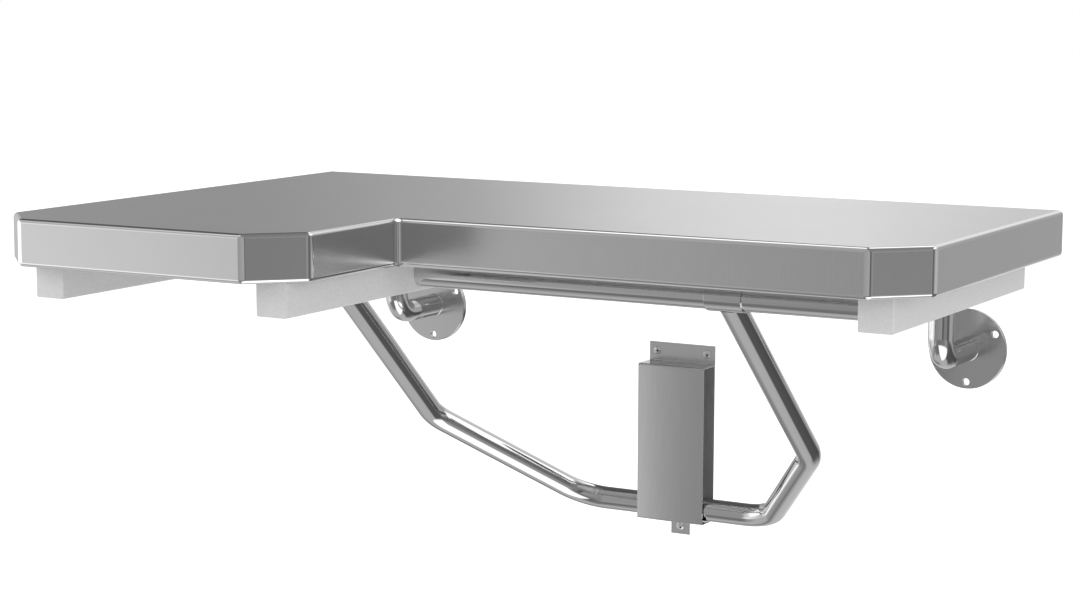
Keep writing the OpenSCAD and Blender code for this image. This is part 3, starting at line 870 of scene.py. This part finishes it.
class WALLSEAT_OT_guide(Operator):
    """Fold the guide that the brace's foot slides in, and finish the plate behind it"""

    bl_idname = "wallseat.guide"
    bl_label = "Guide"

    def execute(self, context):
        sizes = context.scene.wall_seat.wall
        sheet, bend = sizes.guide_sheet, sizes.guide_bend
        half = sheet / 2
        front = GUIDE_LOW.y + half
        top, bottom = GUIDE_HIGH.z - sizes.tab, GUIDE_LOW.z + sizes.foot_tab
        turn = -(bend + sheet)
        bm = bmesh.new()
        bent_strip(bm, [(-half, GUIDE_HIGH.z), (-half, top - half), (front, top - half), (front, bottom + half),
                        (turn, bottom + half)], bend, sheet, GUIDE_LOW.x, GUIDE_HIGH.x)
        bent_strip(bm, [(turn - sheet, bottom + half), (-half, bottom + half), (-half, GUIDE_LOW.z)], bend, sheet,
                   GUIDE_X - sizes.foot_tab_width / 2, GUIDE_X + sizes.foot_tab_width / 2)
        bmesh.ops.remove_doubles(bm, verts=bm.verts, dist=0.000002)
        bow_front(bm, sizes.guide_bow, turn)
        guide = blank("guide_channel", bm)
        past = 0.01  # how far the screws' holes are drilled to both sides of the wall's face
        carve(guide, *[rod(-past, past, x, z, sizes.shank / 2, axis="Y", segments=32)
                       for x, z in screw_places(sizes)])
        dress(polish_edges(guide), "satin_fitting", "wall_mount", "satin_steel", "guide_bracket")
        # The plate behind the guide gets a darkened tone: painted shade inside the guide
        repaint("guide_back_plate", "satin_shaded_plate")
        return {"FINISHED"}


def bow_front(bm, bow, turn, strips=12):
    """Bows the guide's front outwards across its width, and stretches what leads to it."""
    half = (GUIDE_HIGH.x - GUIDE_LOW.x) / 2
    for step in range(1, strips):
        bmesh.ops.bisect_plane(bm, geom=bm.verts[:] + bm.edges[:] + bm.faces[:], dist=0.000001,
                               plane_co=(GUIDE_LOW.x + 2 * half * step / strips, 0, 0), plane_no=(1, 0, 0))
    for v in bm.verts:
        if v.co.y < turn:
            across = (v.co.x - GUIDE_X) / half
            v.co.y -= bow * (1 - across * across) * (v.co.y - turn) / (GUIDE_LOW.y - turn)


def screw_places(sizes):
    """(x, z) of the guide's three screws."""
    top, low = GUIDE_HIGH.z - sizes.tab + sizes.tab_screw, GUIDE_LOW.z + sizes.foot_screw
    return [(GUIDE_X - sizes.screw_gap / 2, top), (GUIDE_X + sizes.screw_gap / 2, top), (GUIDE_X, low)]


def screw_tree(name):
    """Geometry nodes that put a round-headed cross-recess screw on each point, facing the room."""
    b, source = node_tree(name, {
        "Head radius": 0.0036, "Head height": 0.0022, "Shank radius": 0.002, "Screw length": 0.01,
        "Recess width": 0.0014, "Recess length": 0.0050, "Recess depth": 0.0016, "Turn": 0.35})

    def moved(geometry, **places):
        """The geometry moved, turned or scaled."""
        return b.add("GeometryNodeTransform", None, {"Geometry": geometry, **places})

    def xyz(**values):
        """A vector with these parts."""
        return b.add("ShaderNodeCombineXYZ", None, values)

    radius, height, depth = source["Head radius"], source["Head height"], source["Screw length"]
    ball = b.add("GeometryNodeMeshUVSphere", None, {"Segments": 48, "Rings": 32, "Radius": 1.0})
    dome = moved(ball, Scale=xyz(X=radius, Y=radius, Z=height))
    block = 0.02  # side of the block that cuts the lower half off
    below = moved(b.add("GeometryNodeMeshCube", None, {"Size": (block, block, block)}),
                  Translation=(0.0, 0.0, -block / 2))
    recess = b.add("GeometryNodeMeshCube", None, {"Size": xyz(
        X=source["Recess length"], Y=source["Recess width"], Z=source["Recess depth"] * 2.0)})
    slots = [moved(recess, Rotation=(0.0, 0.0, turn), Translation=xyz(Z=height)) for turn in (0.0, math.pi / 2)]
    head = b.add("GeometryNodeMeshBoolean", {"operation": "DIFFERENCE"},
                 {"Mesh 1": dome, "Mesh 2": [below, *slots]})
    shank = b.add("GeometryNodeMeshCylinder", None, {
        "Vertices": 32, "Radius": source["Shank radius"], "Depth": depth})
    screw = b.add("GeometryNodeJoinGeometry", None, {
        "Geometry": [head, moved(shank, Translation=xyz(Z=depth * -0.5))]})
    placed = b.add("GeometryNodeInstanceOnPoints", None, {
        "Points": source["Geometry"], "Instance": moved(screw, Rotation=(math.pi / 2, 0.0, 0.0)),
        "Rotation": xyz(Y=b.add("GeometryNodeInputIndex") * source["Turn"])})
    finish_tree(b, source, placed)


class WALLSEAT_OT_screws(Operator):
    """Put the three screws into the guide"""

    bl_idname = "wallseat.screws"
    bl_label = "Guide screws"

    def execute(self, context):
        sizes = context.scene.wall_seat.wall
        bm = bmesh.new()
        for x, z in screw_places(sizes):
            bm.verts.new((x, -sizes.guide_sheet, z))
        screws = grown(blank("screw_set", bm), screw_tree, {
            "Head radius": sizes.head / 2, "Head height": sizes.head_height, "Shank radius": sizes.shank / 2,
            "Screw length": sizes.screw_length, "Material": finish_named("bright_screw")})
        dress(polish_edges(screws, angle=35.0), "bright_screw", "wall_mount", "bright_screw", "guide_screws")
        return {"FINISHED"}


# Where the lamps point, and the camera's place in metres and its angles in radians, fitted to the photograph
TARGET = Vector((0.3, -0.25, 0.0))
CAMERA_PLACE = (1.3702, -2.2050, 0.3636)
CAMERA_COMPASS, CAMERA_DIP, CAMERA_ROLL = 0.5134029, 0.1391254, 0.0027266


def lamp(name, power, size, place):
    """A square area lamp that faces the seat and isn't mirrored in it."""
    light = bpy.data.lights.new(name, "AREA")
    light.energy, light.size, light.shape = power, size, "SQUARE"
    holder = bpy.data.objects.new(name, light)
    holder.location = place
    holder.rotation_euler = (TARGET - place).to_track_quat("-Z", "Y").to_euler()
    holder.visible_glossy = False
    bpy.context.scene.collection.objects.link(holder)


# What the metal reflects, from the top down: (degrees to the right of the room side, level)
TOP_PANELS = [(-180, 0.80), (-166, 0.95), (-160, 0.06), (-84, 0.06), (-74, 0.20), (-60, 0.35), (-50, 0.80),
              (-40, 0.80), (-30, 0.20), (40, 0.12), (105, 0.12), (150, 0.40), (180, 0.80)]
HIGH_PANELS = [(-180, 0.50), (-168, 0.42), (-162, 0.08), (-112, 0.05), (-100, 0.30), (-60, 0.30), (-38, 0.22),
               (0, 0.20), (40, 0.13), (86, 0.14), (100, 0.85), (140, 0.85), (150, 0.46), (162, 0.30), (180, 0.50)]
SIDE_PANELS = [(-180, 0.34), (-162, 0.39), (-157, 0.52), (-153, 0.46), (-149, 0.26), (-144, 0.19), (-138, 0.20),
               (-130, 0.30), (-116, 0.34), (-104, 0.78), (-56, 0.80), (-48, 0.54), (-39, 0.43), (-31, 0.25),
               (-20, 0.18), (27, 0.22), (33, 0.20), (37, 0.06), (43, 0.07), (50, 0.14), (66, 0.17), (76, 0.16),
               (86, 0.08), (98, 0.07), (111, 0.24), (124, 0.29), (140, 0.24), (150, 0.27), (161, 0.20),
               (172, 0.30), (180, 0.34)]
LOW_PANELS = [(-180, 0.40), (-158, 0.38), (-138, 0.34), (-126, 0.30), (-121, 0.75), (-110, 0.50), (-95, 0.36),
              (-45, 0.60), (-37, 0.50), (-31, 0.26), (-24, 0.18), (0, 0.12), (55, 0.15), (66, 0.22), (79, 0.22),
              (92, 0.10), (120, 0.06), (156, 0.05), (172, 0.24), (180, 0.40)]
DEEP_PANELS = [(-180, 0.33), (-150, 0.32), (-138, 0.22), (-130, 0.12), (-124, 0.18), (-112, 0.30), (-75, 0.32),
               (-60, 0.24), (-50, 0.22), (-41, 0.11), (-27, 0.14), (-4, 0.08), (6, 0.85), (84, 0.85),
               (94, 0.07), (139, 0.06), (150, 0.10), (166, 0.28), (180, 0.33)]
GROUND, ZENITH = 0.62, 0.22  # the least level straight below, and the level straight above


def studio_world(world, ambient):
    """A white backdrop for the camera, and a pale studio with darker flags for metal to reflect."""
    world.use_nodes = True
    b = Builder(world.node_tree)
    way = b.add("ShaderNodeTexCoord")["Generated"]
    spread = b.add("ShaderNodeSeparateXYZ", None, {"Vector": way})
    level = spread["Z"]
    compass = spread.maths("ARCTAN2", spread["Y"] * -1.0) / math.tau + 0.5

    def around(panels):
        """Brightness by the compass, from stops of (degrees to the right of the room side, level)."""
        stops = [(0.5 + degrees / 360, value) for degrees, value in panels]
        return b.add("ShaderNodeValToRGB", {"stops": stops}, {"Fac": compass}) * 2.0

    def between(start, stop):
        """0 to 1 as the way rises or falls from one height to another."""
        return b.add("ShaderNodeMapRange", {"interpolation_type": "SMOOTHSTEP"}, {
            "Value": level, "From Min": start, "From Max": stop})

    mirrored, deep = around(SIDE_PANELS), around(DEEP_PANELS)
    for there, start, stop in ((around(LOW_PANELS), -0.17, -0.28), (deep, -0.46, -0.56),
                               (deep.maths("MAXIMUM", GROUND), -0.84, -0.93), (around(HIGH_PANELS), 0.20, 0.32),
                               (around(TOP_PANELS), 0.60, 0.72), (ZENITH, 0.89, 0.93)):
        mirrored = mirrored + (there - mirrored) * between(start, stop)
    path = b.add("ShaderNodeLightPath")
    seen = path["Is Camera Ray"].maths("MAXIMUM", path["Is Transmission Ray"])
    strength = (seen + path["Is Glossy Ray"] * (1.0 - seen) * mirrored
                + (1.0 - seen) * (1.0 - path["Is Glossy Ray"]) * ambient)
    sky = b.add("ShaderNodeBackground", None, {"Color": (1.0, 1.0, 1.0, 1.0), "Strength": strength})
    b.add("ShaderNodeOutputWorld", None, {"Surface": sky})


def floor_finish():
    """A pale floor that shows as white to the camera and keeps the seat's shadow."""
    material, b = new_material("pale_floor")
    tone = b.noise(b.add("ShaderNodeTexCoord")["Object"], scale=1.5)
    matt = b.add("ShaderNodeBsdfDiffuse", None, {"Color": b.toned(tone, (0.9, 0.9, 0.9), low=0.99, high=1.0)})
    seen = b.add("ShaderNodeLightPath")["Is Camera Ray"]
    glow = b.add("ShaderNodeEmission", None, {"Color": (1.0, 1.0, 1.0, 1.0), "Strength": seen * 0.7})
    lit = b.add("ShaderNodeAddShader", None, {0: matt, 1: glow})
    b.add("ShaderNodeOutputMaterial", None, {"Surface": lit})
    return material


class WALLSEAT_OT_studio(Operator):
    """Set up the pale floor, the lamps, the surroundings and the camera"""

    bl_idname = "wallseat.studio"
    bl_label = "Studio"

    def execute(self, context):
        scene = context.scene
        settings = scene.wall_seat.studio
        scene.world = scene.world or bpy.data.worlds.new("studio")
        studio_world(scene.world, settings.ambient)
        if settings.with_floor:
            bm = bmesh.new()
            bmesh.ops.create_grid(bm, x_segments=8, y_segments=8, size=12.0)
            bmesh.ops.translate(bm, verts=bm.verts, vec=(0.3, 2.0, settings.floor_level))
            floor = blank("floor", bm)
            floor.data.materials.append(floor_finish())
            floor.visible_glossy = False
        for name, power, place in (("key_lamp", settings.key, (-1.9, -2.6, 1.5)),
                                   ("top_lamp", settings.top, (0.7, 0.5, 2.4)),
                                   ("side_lamp", settings.side, (2.8, -1.3, 0.2))):
            lamp(name, power, settings.lamp_size, Vector(place))
        view = bpy.data.cameras.new("camera")
        view.lens, view.sensor_width, view.sensor_fit = settings.focal, 36.0, "HORIZONTAL"
        holder = bpy.data.objects.new("camera", view)
        turn = Matrix.Rotation(CAMERA_COMPASS, 4, "Z")
        tilt = Matrix.Rotation(math.pi / 2 - CAMERA_DIP, 4, "X")
        holder.matrix_world = (Matrix.Translation(CAMERA_PLACE) @ turn @ tilt
                               @ Matrix.Rotation(CAMERA_ROLL, 4, "Z"))
        scene.collection.objects.link(holder)
        scene.camera = holder
        scene.view_settings.view_transform = "Standard"
        return {"FINISHED"}


STEPS = ("pan", "bars", "seat_tubes", "brace", "posts", "flanges", "guide", "screws", "studio")


class WALLSEAT_PT_sidebar(Panel):
    """Lists the seat's sizes and its build steps"""

    bl_idname = "WALLSEAT_PT_sidebar"
    bl_label = "Wall Seat"
    bl_space_type = "VIEW_3D"
    bl_region_type = "UI"
    bl_category = "Wall Seat"

    def draw(self, context):
        settings = context.scene.wall_seat
        for group in ("pan", "bars", "brace", "wall", "finish", "studio"):
            box = self.layout.box()
            box.label(text=group.capitalize())
            values = getattr(settings, group)
            for key in values.__annotations__:
                box.prop(values, key)
        for step in STEPS:
            self.layout.operator("wallseat." + step)


CLASSES = (PanSizes, BarSizes, BraceSizes, WallSizes, Finishes, StudioSettings, WallSeatSettings,
           WALLSEAT_OT_pan, WALLSEAT_OT_bars, WALLSEAT_OT_seat_tubes, WALLSEAT_OT_brace, WALLSEAT_OT_posts,
           WALLSEAT_OT_flanges, WALLSEAT_OT_guide, WALLSEAT_OT_screws, WALLSEAT_OT_studio, WALLSEAT_PT_sidebar)


def register():
    for one in CLASSES:
        bpy.utils.register_class(one)
    bpy.types.Scene.wall_seat = PointerProperty(type=WallSeatSettings)


def unregister():
    del bpy.types.Scene.wall_seat
    for one in reversed(CLASSES):
        bpy.utils.unregister_class(one)


def main():
    register()
    for step in STEPS:
        getattr(bpy.ops.wallseat, step)()


if __name__ == "__main__":
    main()
